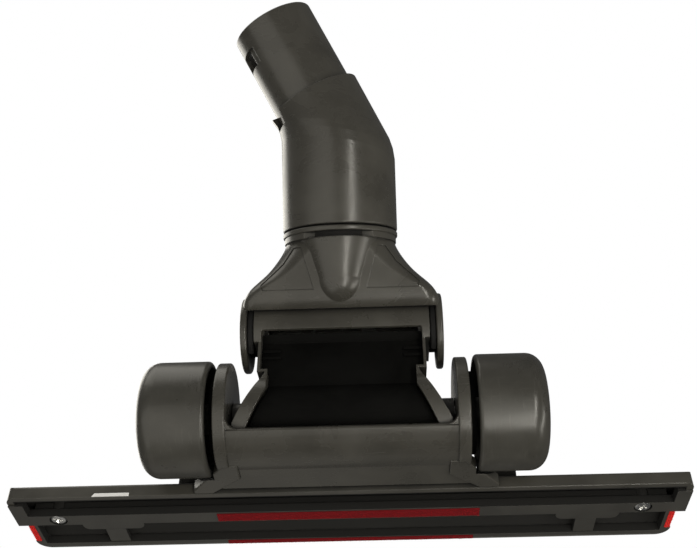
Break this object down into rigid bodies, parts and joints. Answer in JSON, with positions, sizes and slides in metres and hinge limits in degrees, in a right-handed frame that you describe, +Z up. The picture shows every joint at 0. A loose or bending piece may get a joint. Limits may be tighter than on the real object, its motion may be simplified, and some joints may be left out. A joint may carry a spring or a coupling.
{
  "type": "vacuum floor nozzle",
  "caption": "Low, wide vacuum floor nozzle on barrel wheels, with lint strips, a hinged trunk and yoke, and a swivelling bent neck that ends in a wand connector.",
  "frame": {"origin": "on the floor under the middle of the rear lint strip", "axes": "+X along the head to the right as seen from behind, +Y forward away from the wheels, +Z up; stored standing on its strips and wheels with the neck leaning back and the elbow turned to the left"},
  "size_m": [0.3, 0.1744, 0.1969],
  "materials": {
    "shell": "satin moulded",
    "black": "matt moulded",
    "wheel": "satin moulded",
    "sole": "moulded",
    "lint_cloth": "short pile",
    "edge_cloth": "short pile",
    "zinc": "zinc plated",
    "seal": "matt"
  },
  "bodies": {
    "head": {"head_cover": "shell", "sole_plate": "sole", "lint_strip_rear": "lint_cloth", "lint_strip_front": "lint_cloth", "end_strip_left": "edge_cloth", "end_strip_right": "edge_cloth", "sole_screws": "zinc", "carriage": "shell", "carriage_arm_left": "shell", "carriage_arm_right": "shell", "trough_seals": "seal", "stub_axle_left": "zinc", "stub_axle_right": "zinc", "wheel_washer_left": "black", "wheel_washer_right": "black"},
    "trunk": {"trunk_shell": "shell", "trunk_panel": "black"},
    "yoke": {"yoke_rear": "shell", "yoke_front": "shell", "hood_seals": "seal", "yoke_pin_left": "zinc", "yoke_pin_right": "zinc", "yoke_washer_left": "black", "yoke_washer_right": "black", "swivel_sleeve": "shell", "swivel_seal": "seal"},
    "neck": {"elbow": "shell", "connector": "shell", "swivel_clip": "black"},
    "wheel_left": {"wheel_left": "wheel"},
    "wheel_right": {"wheel_right": "wheel"}
  },
  "joints": [
    {"name": "trunk_hinge", "type": "hinge", "parent": "head", "child": "trunk", "pos_m": [0, -0.042, 0.025], "axis": [1, 0, 0], "range_deg": [-12, 75]},
    {"name": "yoke_hinge", "type": "hinge", "parent": "trunk", "child": "yoke", "pos_m": [0, -0.05023, 0.06373], "axis": [1, 0, 0], "range_deg": [-32, 38]},
    {"name": "neck_swivel", "type": "hinge", "parent": "yoke", "child": "neck", "pos_m": [0, -0.0747, 0.09946], "axis": [0, -0.565, 0.8251], "continuous": true},
    {"name": "wheel_left_spin", "type": "hinge", "parent": "head", "child": "wheel_left", "pos_m": [-0.0718, -0.042, 0.025], "axis": [1, 0, 0], "continuous": true},
    {"name": "wheel_right_spin", "type": "hinge", "parent": "head", "child": "wheel_right", "pos_m": [0.0718, -0.042, 0.025], "axis": [1, 0, 0], "continuous": true}
  ]
}
